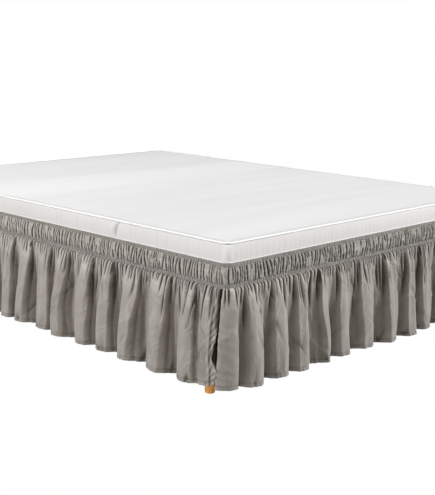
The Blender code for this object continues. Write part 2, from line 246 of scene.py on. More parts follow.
floor_material, tree, shader = new_material("pale_floor", Roughness=0.9, Base_Color=FLOOR_SHADE)
place = add_node(tree, "TexCoord").outputs["Object"]
split = add_node(tree, "SeparateXYZ", Vector=place).outputs
beyond_x = maths(tree, "SUBTRACT", maths(tree, "ABSOLUTE", split["X"]), half_width)
offset_y = maths(tree, "SUBTRACT", split["Y"], bed_middle_y)
beyond_y = maths(tree, "SUBTRACT", maths(tree, "ABSOLUTE", offset_y), half_length)
outside = maths(tree, "MAXIMUM", beyond_x, beyond_y)
open_floor = between(tree, outside, -SHADE_INSET, SHADE_FADE - SHADE_INSET)
by_camera = add_node(tree, "LightPath").outputs["Is Camera Ray"]
glowing = maths(tree, "MULTIPLY", open_floor, by_camera)
ground = either(tree, glowing, shader, add_node(tree, "Emission"))
tree.links.new(ground, tree.nodes["Material Output"].inputs["Surface"])
edge = np.linspace(-FLOOR_SIZE / 2, FLOOR_SIZE / 2, 3)
floor_x, floor_y = np.meshgrid(edge, -edge)
floor = add_surface("floor", np.stack([floor_x, floor_y, 0 * floor_x], axis=-1), floor_material)

# ---- wooden bed ----------------------------------------------------------------
# A plain pine frame: rails, ledgers, a centre beam and slats of sawn board stained
# dark, with corner blocks glued inside and round legs turned from oiled pine. The
# dark stain is partly painted shade: it keeps the frame as dark as the shade under
# the skirt, and the legs take it above their feet, where the skirt shades them.
OILED_PALE, OILED_DARK = (0.880, 0.430, 0.105, 1.0), (0.500, 0.180, 0.030, 1.0)
# a dark stain that is partly painted shade for the frame under the skirt
STAIN_SHADE_PALE, STAIN_SHADE_DARK = (0.105, 0.052, 0.026, 1.0), (0.042, 0.019, 0.009, 1.0)
GRAIN_PITCH = 0.007
GRAIN_STRETCH = 14.0  # how much longer than wide the grain's figure is
GRAIN_DEPTH = 0.0006
LEG_SHADE_STAIN_FROM = 0.085  # height where the rails' dark stain, partly painted shade, begins
SHADE_STAIN_FADE = 0.02


def noise(tree, vector, **inputs):
    """A Noise Texture's value on the coordinates vector."""
    return add_node(tree, "TexNoise", Vector=vector, **inputs).outputs["Fac"]


def blend(tree, share, first, second):
    """A colour that goes from first to second as share goes from 0 to 1."""
    node = tree.nodes.new("ShaderNodeMix")
    node.data_type = "RGBA"
    fill(tree, node, Factor=share, A=first, B=second)
    return node.outputs["Result"]


def raised(tree, height, strength, distance, **under):
    """The normal of a surface raised by height, over another normal if one is given."""
    node = add_node(tree, "Bump", Height=height, Strength=strength, Distance=distance, **under)
    return node.outputs["Normal"]


def new_group(name, inputs, outputs):
    """A node group with its labelled sockets: the group, its inputs and its end node."""
    group = bpy.data.node_groups.new(name, "ShaderNodeTree")
    for in_out, sockets in (("INPUT", inputs), ("OUTPUT", outputs)):
        for label, kind in sockets.items():
            group.interface.new_socket(label, in_out=in_out, socket_type=f"NodeSocket{kind}")
    given = group.nodes.new("NodeGroupInput").outputs
    return group, given, group.nodes.new("NodeGroupOutput")


def add_group(tree, group, **inputs):
    """A node group placed in a tree: its outputs for the given inputs."""
    node = tree.nodes.new("ShaderNodeGroup")
    node.node_tree = group
    return fill(tree, node, **inputs).outputs


def pine_grain_group():
    """Pine's figure, on coordinates squeezed along the grain, and its fibres alone.

    The figure is the tree's rings times slow noise, plus a third of fine noise.
    """
    group, given, out = new_group(
        "pine_grain", {"Laid": "Vector", "Rings": "Float"}, {"Figure": "Float", "Fibre": "Float"}
    )
    bend = noise(group, given["Laid"], Scale=0.18 / GRAIN_PITCH, Detail=3.0)
    fibre = noise(group, given["Laid"], Scale=6.0 / GRAIN_PITCH, Detail=4.0)
    figure = maths(group, "MULTIPLY", given["Rings"], bend)
    fill(group, out, Figure=maths(group, "MULTIPLY_ADD", fibre, 0.35, figure), Fibre=fibre)
    return group


pine_grain = pine_grain_group()


def wood_material(name, along, pale, dark, shade_stain_from=None):
    """Pine whose grain runs along the axis numbered along, between two shades.

    The figure is rings round that axis, drawn out along it. Above the height given
    as its last argument the pine takes the rails' dark stain, painted shade where
    the skirt shades a leg.
    """
    material, tree, shader = new_material(name, Coat_Weight=0.15, Coat_Roughness=0.3)
    place = add_node(tree, "TexCoord").outputs["Object"]
    squeeze = [1.0, 1.0, 1.0]
    squeeze[along] = 1.0 / GRAIN_STRETCH
    laid = add_node(tree, "Mapping", Vector=place, Scale=squeeze).outputs["Vector"]
    rings = add_node(tree, "TexWave", Vector=laid, Scale=0.16 / GRAIN_PITCH)
    fill(tree, rings, Distortion=5.0, Detail=2.0)
    rings.wave_type = "RINGS"
    rings.rings_direction = "XYZ"[along]
    grain = add_group(tree, pine_grain, Laid=laid, Rings=rings.outputs["Fac"])
    ramp = add_node(tree, "ValToRGB", Fac=grain["Figure"])
    for element, position, colour in zip(ramp.color_ramp.elements, (0.15, 0.85), (pale, dark)):
        element.position = position
        element.color = colour
    colour = ramp.outputs["Color"]
    # above this height the leg takes the dark stain as painted shade under the skirt
    if shade_stain_from is not None:
        height = add_node(tree, "SeparateXYZ", Vector=place).outputs["Z"]
        upper = between(tree, height, shade_stain_from, shade_stain_from + SHADE_STAIN_FADE)
        colour = blend(tree, upper, colour, STAIN_SHADE_PALE)
    fill(
        tree,
        shader,
        Base_Color=colour,
        Roughness=between(tree, grain["Fibre"], 0.2, 0.8, 0.42, 0.62),
        Normal=raised(tree, grain["Fibre"], 0.35, GRAIN_DEPTH),
    )
    return material


# the frame's dark stain, partly painted shade under the skirt
stain_and_shade = [
    wood_material(f"stain_and_shade_pine_along_{axis}", number, STAIN_SHADE_PALE, STAIN_SHADE_DARK)
    for number, axis in enumerate("xyz")
]
oiled_pine = wood_material("oiled_pine", 2, OILED_PALE, OILED_DARK, LEG_SHADE_STAIN_FROM)
for name, node in nodes.items():
    if name.startswith(("foot_rail", "head_rail", "slat")):
        node.data.materials[0] = stain_and_shade[0]
    elif name.startswith(("side_rail", "ledger", "centre_beam")):
        node.data.materials[0] = stain_and_shade[1]
    elif name.startswith("block"):
        node.data.materials[0] = stain_and_shade[2]

LEG_FOOT_CHAMFER = 0.003
LEG_TOP_CHAMFER = 0.0008
LEG_SIDES = 40


def close_poles(obj):
    """Joins the points of a piece that fall together."""
    work = bmesh.new()
    work.from_mesh(obj.data)
    bmesh.ops.remove_doubles(work, verts=work.verts, dist=1e-6)
    work.to_mesh(obj.data)
    work.free()
    return obj


def turned_piece(name, centre, profile, sides, material):
    """A solid of revolution: each (radius, height) of the profile goes round centre."""
    angle = np.linspace(0, 2 * math.pi, sides, endpoint=False)
    radius, height = np.array(profile).T
    x = centre[0] + radius[:, None] * np.cos(angle)
    y = centre[1] + radius[:, None] * np.sin(angle)
    z = np.broadcast_to(height[:, None], x.shape)
    piece = add_surface(name, np.stack([x, y, z], axis=-1), material, closed=True)
    return close_poles(piece)


def rounded_edge(size, steps):
    """A quarter circle from an end's flat out to the side, as each point's inset and rise.

    They are size * (1 - sine) and size * (1 - cosine) of an angle from 0 to 90 degrees.
    """
    angle = np.linspace(0, math.pi / 2, steps)
    return list(zip(size * (1 - np.sin(angle)), size * (1 - np.cos(angle))))


for name in sorted(n for n in nodes if n.startswith("leg_")):
    low, high = node_box(name)
    centre = (low + high) / 2
    radius = (high[0] - low[0]) / 2
    top, foot = high[2], low[2]
    rounding = [(radius - inset, foot + rise) for inset, rise in rounded_edge(LEG_FOOT_CHAMFER, 6)]
    shaft = [(radius, foot + share * (top - foot)) for share in (0.1, 0.5, 0.9)]
    profile = [(0.0, top), (radius - LEG_TOP_CHAMFER, top), (radius, top - LEG_TOP_CHAMFER)]
    profile += shaft[::-1] + rounding[::-1] + [(0.0, foot)]
    leg = turned_piece(f"{name}_turned", centre, profile, LEG_SIDES, oiled_pine)
    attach(leg, "root")
    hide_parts(name)

# ---- mattress ------------------------------------------------------------------
# A thin foam mattress in a smooth white ticking. Its border is quilted in upright
# channels and joined once on the long side, and the top panel shows broad faint
# tufting where the filling was laid.
EDGE_ROUND = 0.012
LOWER_EDGE_ROUND = 0.004
CORNER_RADIUS = 0.025
CORNER_STEPS = 10
BORDER_COLUMN_STEP = 0.004
BORDER_SWELL = 0.0042
CHANNEL_PITCH = 0.024
CHANNEL_SPREAD = 0.25  # of the pitch
CHANNEL_DEPTH = 0.0010
JOIN_FROM_CORNER = 0.522
JOIN_LEAN = 0.024
JOIN_WIDTH = 0.0030
JOIN_DEPTH = 0.0044
JOIN_SWELL = 0.0036  # of the cloth gathered just past the join
SWELL_WIDTH = 0.011
SWELL_AT = 0.018
TOP_ROWS = 12
TUFT_HEIGHT = 0.0006
# how much of the painted shade colour the border takes: painted shade along its
# straight sides, more towards the head, less at the foot and none round a corner,
# so that the corners and the foot look as lit as the long sides; painted shade in
# its grooves; and painted shade in the join's dent
PAINTED_SIDE_SHADE, PAINTED_SIDE_CHANGE = 0.51, 0.07
GROOVE_SHADE = 0.35
JOIN_SHADE = 2.0
BORDER_TINTS = (0.870, 0.810, 0.799, 1.0), (0.912, 0.861, 0.853, 1.0)
# the top's tints, greyer than the border's: painted shade against the light from above
TOP_PAINTED_TINTS = (0.556, 0.540, 0.539, 1.0), (0.760, 0.737, 0.735, 1.0)
# the colour of the border's painted shade
BORDER_PAINTED_SHADE = (0.40, 0.375, 0.36, 1.0)
KNIT_DEPTH = 0.0004
mattress_bottom, mattress_top = mattress_low[2], mattress_high[2]
chance = np.random.default_rng(11)


def smooth(value):
    """0 to 1 as value goes from 0 to 1, level at both ends."""
    value = np.clip(value, 0, 1)
    return value * value * (3 - 2 * value)


def bell(distance, width):
    """e to the minus (distance / width) squared: 1 in the middle, a third at width."""
    return np.exp(-((distance / width) ** 2))


def outline_points(step):
    """The bed's outline, each point as its corner circle's centre and outward turn.

    It goes round the left corner of the head, down the left side, round the foot,
    up the right side and back along the head: quarter circles joined by straight
    runs of points about step apart.
    """
    near_x, near_y = half_width - CORNER_RADIUS, half_length - CORNER_RADIUS
    corners = ((-1, 1, 90), (-1, -1, 180), (1, -1, 270), (1, 1, 0))
    centres, turns = [], []
    for number, (side, end, degrees) in enumerate(corners):
        turn = np.radians(np.linspace(degrees, degrees + 90, CORNER_STEPS + 1))
        here = np.array([side * near_x, bed_middle_y + end * near_y])
        side, end = corners[(number + 1) % 4][:2]
        there = np.array([side * near_x, bed_middle_y + end * near_y])
        count = max(2, round(float(np.linalg.norm(there - here)) / step))
        share = np.linspace(0, 1, count, endpoint=False)[1:, None]
        centres += [np.repeat(here[None], len(turn), 0), here + share * (there - here)]
        turns += [turn, np.full(count - 1, turn[-1])]
    return np.concatenate(centres), np.concatenate(turns)


def offset_ring(centres, turns, out):
    """x and y of the outline's points, moved out from the rails by out."""
    reach = CORNER_RADIUS + out
    return (
        centres[:, 0] + reach * np.cos(turns),
        centres[:, 1] + reach * np.sin(turns),
    )


def run_length(x, y):
    """The distance along a closed ring of points, from its first."""
    step = np.hypot(np.diff(x), np.diff(y))
    return np.concatenate([[0.0], np.cumsum(step)])


def uneven_lanes(draw, total, count, spread):
    """Places from 0 to total that part it into count lanes, uneven by spread."""
    ends = np.cumsum(1 + spread * draw.uniform(-1, 1, count))
    return np.concatenate([[0.0], ends / ends[-1] * total])


centres, turns = outline_points(BORDER_COLUMN_STEP)
ring_x, ring_y = offset_ring(centres, turns, 0.0)
around = run_length(ring_x, ring_y)
perimeter = around[-1] + math.hypot(ring_x[0] - ring_x[-1], ring_y[0] - ring_y[-1])
channels = round(perimeter / CHANNEL_PITCH)
lanes = uneven_lanes(chance, perimeter, channels, CHANNEL_SPREAD)
in_lane = np.interp(around, lanes, np.arange(channels + 1))
quilt = np.abs(np.sin(math.pi * in_lane)) ** 0.6 - 0.6
lane_depth = 0.5 + 0.7 * chance.random(channels + 1)
quilt = quilt * lane_depth[in_lane.astype(int)]


def border_profile():
    """(inset, height) from the foot of the border to its top, with both edges round."""
    lower = [
        (inset, mattress_bottom + rise) for inset, rise in rounded_edge(LOWER_EDGE_ROUND, 4)
    ]
    upper = [(inset, mattress_top - rise) for inset, rise in rounded_edge(EDGE_ROUND, 7)[::-1]]
    flat = [(0.0, z) for z in np.linspace(lower[-1][1], upper[0][1], 10)[1:-1]]
    return lower + flat + upper


on_left = np.abs(ring_x + half_width) < 1e-4
from_corner = ring_y - (bed_middle_y - half_length)
# painted shade on the border's straight sides, less at the foot and lifted round each corner to
# even out the lamps' light
round_corner = np.mod(turns, math.pi / 2) / (math.pi / 2)
painted_side_shade = PAINTED_SIDE_SHADE + PAINTED_SIDE_CHANGE * np.sin(turns)
painted_side_shade = painted_side_shade * (1 - np.sin(math.pi * round_corner**1.6) ** 0.8)
rows, painted_shade = [], []
for inset, height in border_profile():
    share = (height - mattress_bottom) / (mattress_top - mattress_bottom)
    plump = math.sin(math.pi * np.clip(share, 0, 1)) ** 0.7
    out = BORDER_SWELL * math.sin(math.pi * share) - inset + CHANNEL_DEPTH * quilt * plump
    past_join = from_corner - (JOIN_FROM_CORNER + JOIN_LEAN * (0.3 - share**3))
    dent = on_left * bell(past_join, JOIN_WIDTH) * smooth((share - 0.2) / 0.15)
    swell = on_left * bell(past_join - SWELL_AT, SWELL_WIDTH)
    out = out + (swell * JOIN_SWELL - dent * JOIN_DEPTH) * plump
    x, y = offset_ring(centres, turns, out)
    rows.append(np.stack([x, y, np.full_like(x, height)], axis=-1))
    # painted shade in the channels' grooves and in the join's dent
    groove = np.clip(-quilt - 0.15, 0, 1) * plump
    painted_shade.append(painted_side_shade + GROOVE_SHADE * groove + JOIN_SHADE * dent * (share < 0.93))
rim = rows[-1]
middle = np.array([0.0, bed_middle_y, mattress_top])
for share in 1 - np.linspace(0, 1, TOP_ROWS)[1:] ** 1.4:
    ring = middle + (rim - middle) * share
    tufts = np.sin(ring[:, 0] * 21 + 1.3 * np.sin(ring[:, 1] * 2.1)) * 0.5
    tufts += np.sin(ring[:, 1] * 9 + 2.0 * np.sin(ring[:, 0] * 3.3)) * 0.5
    ring[:, 2] = mattress_top + TUFT_HEIGHT * (tufts * (1 - share**8) - 1)
    rows.append(ring)
    painted_shade.append(0 * around)
bottom = rows[0].copy()
for share in (0.97, 0.5, 0.0):
    ring = bottom.copy()
    ring[:, :2] = middle[:2] + (bottom[:, :2] - middle[:2]) * share
    rows.insert(0, ring)
    painted_shade.insert(0, 0 * around)


def painted_shade_group():
    """The colour Open where the point's painted shade is 0, and the painted shade colour where it
    is 1.
    """
    group, given, out = new_group(
        "painted_shade_blend", {"Open": "Color", "Pressed": "Color"}, {"Colour": "Color"}
    )
    painted_shade = add_node(group, "Attribute")
    painted_shade.attribute_name = "painted_shade"
    colour = blend(group, painted_shade.outputs["Fac"], given["Open"], given["Pressed"])
    fill(group, out, Colour=colour)
    return group


def fine_knit_group():
    """The normal of a cloth raised by fine noise, with so many Threads to a metre."""
    group, given, out = new_group(
        "fine_knit", {"Threads": "Float", "Strength": "Float"}, {"Normal": "Vector"}
    )
    place = add_node(group, "TexCoord").outputs["Object"]
    knit = noise(group, place, Scale=given["Threads"])
    fill(group, out, Normal=raised(group, knit, given["Strength"], KNIT_DEPTH))
    return group


painted_shade_blend = painted_shade_group()
fine_knit = fine_knit_group()


def mark_painted_shade(obj, painted_shade):
    """Keeps on each point of the grid how much painted shade it takes, 0 to 1, most deep in a
    gather or seam.
    """
    layer = obj.data.attributes.new("painted_shade", "FLOAT", "POINT")
    layer.data.foreach_set("value", np.clip(painted_shade, 0, 1).ravel().astype(np.float32))
    return obj


def ticking_material(name):
    """White knitted ticking with a fine rib, soft streaks and a little sheen.

    The top panel is painted a shade greyer, painted shade against the stronger
    light from above, least towards the head, with faint broad bands of painted
    sheen across the bed.
    """
    material, tree, shader = new_material(
        name, Roughness=0.8, Sheen_Weight=0.15, Sheen_Roughness=0.5
    )
    place = add_node(tree, "TexCoord").outputs["Object"]
    split = add_node(tree, "SeparateXYZ", Vector=place).outputs
    streak = noise(tree, place, Scale=2.2, Detail=2.0)
    border = blend(tree, between(tree, streak, 0.3, 0.7), *BORDER_TINTS)
    laid = add_node(tree, "Mapping", Vector=place, Scale=(0.5, 4.0, 1.0)).outputs["Vector"]
    # faint broad bands of painted sheen
    band = between(tree, noise(tree, laid, Scale=1.0), 0.3, 0.7, 0.0, 0.35)
    towards_head = between(tree, split["Y"], -1.2, 1.2, 0.0, 0.65)
    top = blend(tree, maths(tree, "ADD", band, towards_head), *TOP_PAINTED_TINTS)
    on_top = between(tree, split["Z"], mattress_top - 0.010, mattress_top - 0.002)
    panels = blend(tree, on_top, border, top)
    fill(
        tree,
        shader,
        Base_Color=add_group(tree, painted_shade_blend, Open=panels, Pressed=BORDER_PAINTED_SHADE)["Colour"],
        Normal=add_group(tree, fine_knit, Threads=900.0, Strength=0.3)["Normal"],
    )
    return material


ticking = ticking_material("white_ticking")
mattress = add_surface("mattress_quilted", np.array(rows)[::-1], ticking, closed=True)
mark_painted_shade(mattress, np.array(painted_shade)[::-1])
close_poles(mattress)
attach(mattress, "root")
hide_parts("mattress")

# ---- piping --------------------------------------------------------------------
# A white cord sewn into the seam between border and top, and a thinner and duller
# one at the border's lower edge. Both waver a little where the tape was eased round.
PIPING_SIDES = 8
PIPING_FULLNESS = 1.05  # of the solid's half height, so that the cord fills its seam
PIPING_WAVES = (31, 53, 97)  # how many of each go round the bed
UPPER_WHITE = (0.93, 0.925, 0.925, 1.0)
LOWER_WHITE = (0.80, 0.775, 0.765, 1.0)


def piping_material(name, white):
    """Cotton cord: an even white with the fine bump of its twill."""
    material, tree, shader = new_material(
        name, Roughness=0.7, Sheen_Weight=0.2, Base_Color=white
    )
    twill = add_group(tree, fine_knit, Threads=700.0, Strength=0.4)
    fill(tree, shader, Normal=twill["Normal"])
    return material


def piping(name, node, waver, material):
    """A round cord on the outline: its section goes round at the node's own place."""
    low, high = node_box(node)
    radius = (high[2] - low[2]) / 2 * PIPING_FULLNESS
    out = high[0] - radius - half_width
    height = (low[2] + high[2]) / 2
    phases = chance.uniform(0, 2 * math.pi, len(PIPING_WAVES))
    wave = waver * sum(
        np.sin(2 * math.pi * around / perimeter * waves + phase)
        for waves, phase in zip(PIPING_WAVES, phases)
    )
    grid = []
    for angle in np.linspace(0, 2 * math.pi, PIPING_SIDES, endpoint=False):
        x, y = offset_ring(centres, turns, out + radius * math.cos(angle) + wave)
        z = height + radius * math.sin(angle) + 0.5 * wave
        grid.append(np.stack([x, y, z], axis=-1))
    cord = add_surface(name, np.array(grid)[::-1], material, closed=True, looped=True)
    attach(cord, "root")
    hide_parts(node)
    return cord


piping_cotton = piping_material("piping_cotton", UPPER_WHITE)
tape_cotton = piping_material("tape_cotton", LOWER_WHITE)
piping("piping_upper_cord", "piping_upper", 0.0003, piping_cotton)
piping("piping_lower_cord", "piping_lower", 0.0002, tape_cotton)

# ---- skirt cloth ---------------------------------------------------------------
# The heading and the ruffles are cut from one brushed microfibre in a warm grey,
# plainly woven, whose threads vary slightly in shade. Its pattern follows the
# cloth's own flat measure, kept in a UV map in metres.
CLOTH_DARK = (0.464, 0.414, 0.366, 1.0)
CLOTH_PALE = (0.627, 0.574, 0.519, 1.0)
# the dark brown of the cloth's painted shade in gathers and creases
CLOTH_PAINTED_SHADE = (0.068, 0.045, 0.030, 1.0)
THREAD_PITCH = 0.0006
WEAVE_DEPTH = 0.0003
RUMPLE_DEPTH = 0.0055
RUMPLES = (36.0, 20.0, 1.0)  # to a metre across and down the cloth
STREAKS = ((9.0, 900.0, 1.0), (900.0, 9.0, 1.0))  # of the threads across and down


def flat_coordinates(tree):
    """Where a point lies on the flat cloth, from its UV map in metres."""
    uv = tree.nodes.new("ShaderNodeUVMap")
    uv.uv_map = "flat_cloth"
    return uv.outputs["UV"]


def weave_group():
    """Plain weave: a fine crossing height with uneven threads and a slow cloudy tint.

    The crossing is the product of a sine across and one down, and the threads are
    noise drawn out along each way.
    """
    group, given, out = new_group(
        "plain_weave", {"Pitch": "Float", "Slub": "Float"}, {"Height": "Float", "Tint": "Float"}
    )
    flat = flat_coordinates(group)
    split = add_node(group, "SeparateXYZ", Vector=flat).outputs
    waves = []
    for axis in "XY":
        counted = maths(group, "DIVIDE", split[axis], given["Pitch"])
        waves.append(maths(group, "SINE", maths(group, "MULTIPLY", counted, math.pi)))
    crossing = maths(group, "MULTIPLY", *waves)
    threads = []
    for scale in STREAKS:
        laid = add_node(group, "Mapping", Vector=flat, Scale=scale).outputs["Vector"]
        threads.append(noise(group, laid, Scale=1.0, Detail=3.0))
    uneven = maths(group, "ADD", *threads)
    slub = maths(group, "MULTIPLY", uneven, given["Slub"])
    cloud = noise(group, flat, Scale=14.0, Detail=4.0)
    fill(
        group,
        out,
        Height=maths(group, "MULTIPLY_ADD", crossing, 0.5, slub),
        Tint=maths(group, "MULTIPLY_ADD", uneven, 0.3, cloud),
    )
    return group


plain_weave = weave_group()


def cloth_material(name, dark, pale, crease, **plain):
    """Woven cloth: the weave's tint between two shades, its height and soft creases.

    Deep in its gathers, where the attribute of painted shade is 1, it takes the
    cloth's dark painted shade colour.
    """
    material, tree, shader = new_material(name, Roughness=0.85, Sheen_Roughness=0.5, **plain)
    weave = add_group(tree, plain_weave, Pitch=THREAD_PITCH, Slub=0.6)
    nap = blend(tree, between(tree, weave["Tint"], 0.45, 1.15), dark, pale)
    flat = flat_coordinates(tree)
    laid = add_node(tree, "Mapping", Vector=flat, Scale=RUMPLES).outputs["Vector"]
    rumple = noise(tree, laid, Scale=1.0, Detail=5.0, Roughness=0.6, Distortion=1.2)
    soft = raised(tree, rumple, crease, RUMPLE_DEPTH)
    fill(
        tree,
        shader,
        Base_Color=add_group(tree, painted_shade_blend, Open=nap, Pressed=CLOTH_PAINTED_SHADE)["Colour"],
        Normal=raised(tree, weave["Height"], 0.35, WEAVE_DEPTH, Normal=soft),
    )
    return material


skirt_cloth = cloth_material(
    "brushed_microfibre",
    CLOTH_DARK,
    CLOTH_PALE,
    crease=1.0,
    Sheen_Weight=0.35,
    Sheen_Tint=(0.90, 0.97, 1.0, 1.0),
)


def flat_measure(obj, across, down):
    """A UV map in metres of flat cloth: across and down for each point of the grid."""
    corner = np.zeros(len(obj.data.loops), int)
    obj.data.loops.foreach_get("vertex_index", corner)
    flat = np.stack([across.ravel()[corner], down.ravel()[corner]], axis=-1)
    layer = obj.data.uv_layers.new(name="flat_cloth")
    layer.data.foreach_set("uv", flat.ravel())
    return obj


def surface_lengths(grid):
    """Lengths across and down a grid of points, each summed along its own lines."""
    across = np.linalg.norm(np.diff(grid, axis=1), axis=2)
    down = np.linalg.norm(np.diff(grid, axis=0), axis=2)
    across = np.concatenate([np.zeros((len(grid), 1)), np.cumsum(across, axis=1)], axis=1)
    down = np.concatenate([np.zeros((1, grid.shape[1])), np.cumsum(down, axis=0)], axis=0)
    return across, down


# ---- elastic bands -------------------------------------------------------------
# Two woven elastics run right round the bed, each in a narrow casing of the cloth.
# Drawn up, the casing stands in fine upright puckers between its two stitch lines.
PUCKER_PITCH = 0.0098
PUCKER_SPREAD = 0.5  # of the pitch
PUCKER_LEAN = 0.45  # in puckers, over the height of the band
PUCKER_DEPTH = 0.0024
PUCKER_LIFT = 0.0004  # of the casing's edges over a pucker
PUCKER_COLUMN_STEP = 0.00125
BAND_OUT = 0.003  # from the rails to where the puckers are counted
BAND_NEAREST = 0.0005
BAND_DARK = (0.238, 0.212, 0.190, 1.0)
BAND_PALE = (0.324, 0.292, 0.264, 1.0)
# height up the band, how far out, and how much of the pucker shows
BAND_SECTION = (
    (0.97, 0.0007, 0.0),
    (1.00, 0.0020, 0.5),
    (0.94, 0.0034, 0.9),
    (0.84, 0.0031, 0.6),
    (0.66, 0.0037, 1.0),
    (0.50, 0.0039, 1.0),
    (0.34, 0.0037, 1.0),
    (0.16, 0.0031, 0.6),
    (0.06, 0.0034, 0.9),
    (0.00, 0.0026, 0.5),
)
band_cloth = cloth_material(
    "gathered_casing", BAND_DARK, BAND_PALE, crease=0.25, Sheen_Weight=0.3
)


def gathered_band(name, node, seed):
    """A casing round the whole bed: BAND_SECTION carried along the outline.

    A pucker is |sine| to a low power, so its crest is round and its valley sharp,
    and each has its own width, strength and lean.
    """
    low, high = node_box(node)
    draw = np.random.default_rng(seed)
    middle, turn = outline_points(PUCKER_COLUMN_STEP)
    along = run_length(*offset_ring(middle, turn, BAND_OUT))
    total = along[-1] + PUCKER_COLUMN_STEP
    count = round(total / PUCKER_PITCH)
    steps = uneven_lanes(draw, total, count, PUCKER_SPREAD)
    depth = draw.uniform(0.5, 1.2, count + 1)
    place = np.interp(along, steps, np.arange(count + 1))
    strength = depth[place.astype(int)]
    lean = np.interp(along, steps, draw.uniform(-PUCKER_LEAN, PUCKER_LEAN, count + 1))
    grid, painted_shade = [], []
    for share, out, shown in BAND_SECTION:
        puckers = np.abs(np.sin(math.pi * (place + lean * (share - 0.5)))) ** 0.7 - 0.6
        reach = out + PUCKER_DEPTH * shown * strength * puckers
        x, y = offset_ring(middle, turn, np.maximum(reach, BAND_NEAREST))
        lift = PUCKER_LIFT * shown * puckers * (2 * share - 1)
        z = low[2] + share * (high[2] - low[2]) + lift
        grid.append(np.stack([x, y, z], axis=-1))
        # painted shade in the puckers' valleys, lighter on their crests
        painted_shade.append((0.4 - puckers) * shown * strength)
    grid = np.array(grid)
    band = add_surface(name, grid, band_cloth, closed=True)
    mark_painted_shade(band, np.array(painted_shade))
    across, down = surface_lengths(grid)
    flat_measure(band, across, down)
    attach(band, "root")
    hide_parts(node)
    return band


gathered_band("elastic_upper_casing", "elastic_upper", 21)

# ---- shirred heading -----------------------------------------------------------
# The strip between the two elastics is the same cloth, drawn up to about two thirds
# of its length, so that it puffs out in uneven upright ribs with deep narrow
# valleys. Some ribs slant, and some die out half way up.
RIB_PITCH = 0.0126
CORNER_RIB_PITCH = 0.0085
CORNER_SPAN = 0.09  # how far from a corner the ribs are close and even
RIB_SPREAD = 0.45  # of the pitch
RIB_LEAN, FOOT_RIB_LEAN = 0.015, 0.004
RIB_BOW = 0.0025
RIB_VALLEY = 0.0020
RIB_CREST = 0.0118
RIB_LOW = 0.0024  # a rib of no height stands this far out
RIB_CRUMPLE = 0.16
SHORT_VALLEYS = 0.16  # the share of them that ends before the top, and the bottom
FAINT_VALLEY = 0.30
TUCKED_OUT = 0.0018
LAP = 0.0052  # how far the ribs stand over the bands' edges
HEADING_COLUMN_STEP = 0.00135
HEADING_ROWS = 15
heading_low, heading_high = node_box("shirred_heading")
side_run = 2 * half_length - 2 * CORNER_RADIUS
end_run = 2 * half_width - 2 * CORNER_RADIUS
arc_run = CORNER_RADIUS * math.pi / 2
whole_run = 2 * side_run + end_run + 2 * arc_run


def wrap(along, out):
    """x and y on the rails' outline at a distance along it, moved out from it.

    along runs from the head end of the left side, down that side, round the foot
    and up the right side: straight runs joined by quarter circles.
    """
    foot_start = side_run + arc_run
    right_start = foot_start + end_run + arc_run
    turn = np.clip((along - side_run) / CORNER_RADIUS, 0, math.pi / 2)
    turn = turn + np.clip((along - foot_start - end_run) / CORNER_RADIUS, 0, math.pi / 2)
    centre_x = CORNER_RADIUS - half_width + np.clip(along - foot_start, 0, end_run)
    centre_y = bed_middle_y - half_length + CORNER_RADIUS
    centre_y = centre_y + np.clip(side_run - along, 0, None) + np.clip(along - right_start, 0, None)
    reach = CORNER_RADIUS + out
    return centre_x - reach * np.cos(turn), centre_y - reach * np.sin(turn)


def pockets(along, valleys, strength, sharpness):
    """How deep each place lies between gathers: a valley's strength there, 0 on a crest.

    Between two valleys the cloth rises as |sine| to the power sharpness, so that a
    low sharpness gives broad round crests and narrow cusps. Each half of a crest
    falls to the strength of its own valley.
    """
    last = len(valleys) - 1
    right = np.clip(np.searchsorted(valleys, along, side="right"), 1, last)
    left = right - 1
    phase = (along - valleys[left]) / np.maximum(valleys[right] - valleys[left], 1e-5)
    phase = np.clip(phase, 0, 1)
    own = np.where(phase < 0.5, strength[left], strength[right])
    return own * (1 - np.sin(math.pi * phase) ** sharpness)


def uneven_steps(draw, total, pitch_at, spread):
    """Places from 0 to total whose spacing is pitch_at(place), uneven by spread."""
    places = [0.0]
    while places[-1] < total:
        places.append(places[-1] + pitch_at(places[-1]) * (1 + spread * draw.uniform(-1, 1)))
    places = np.array(places)
    return places * total / places[-1]


def rib_pitch(place):
    """The ribs' pitch: closest at the two foot corners, it grows as a square root."""
    first = side_run + arc_run / 2
    near = min(abs(place - first), abs(place - first - arc_run - end_run))
    share = min(1.0, max(0.0, near - arc_run / 2) / CORNER_SPAN) ** 0.5
    return CORNER_RIB_PITCH + (RIB_PITCH - CORNER_RIB_PITCH) * share


def valley_ends(draw, count):
    """What share of the height each valley reaches: most go past the end."""
    return np.where(draw.random(count) < SHORT_VALLEYS, draw.uniform(0.45, 0.9, count), 1.4)


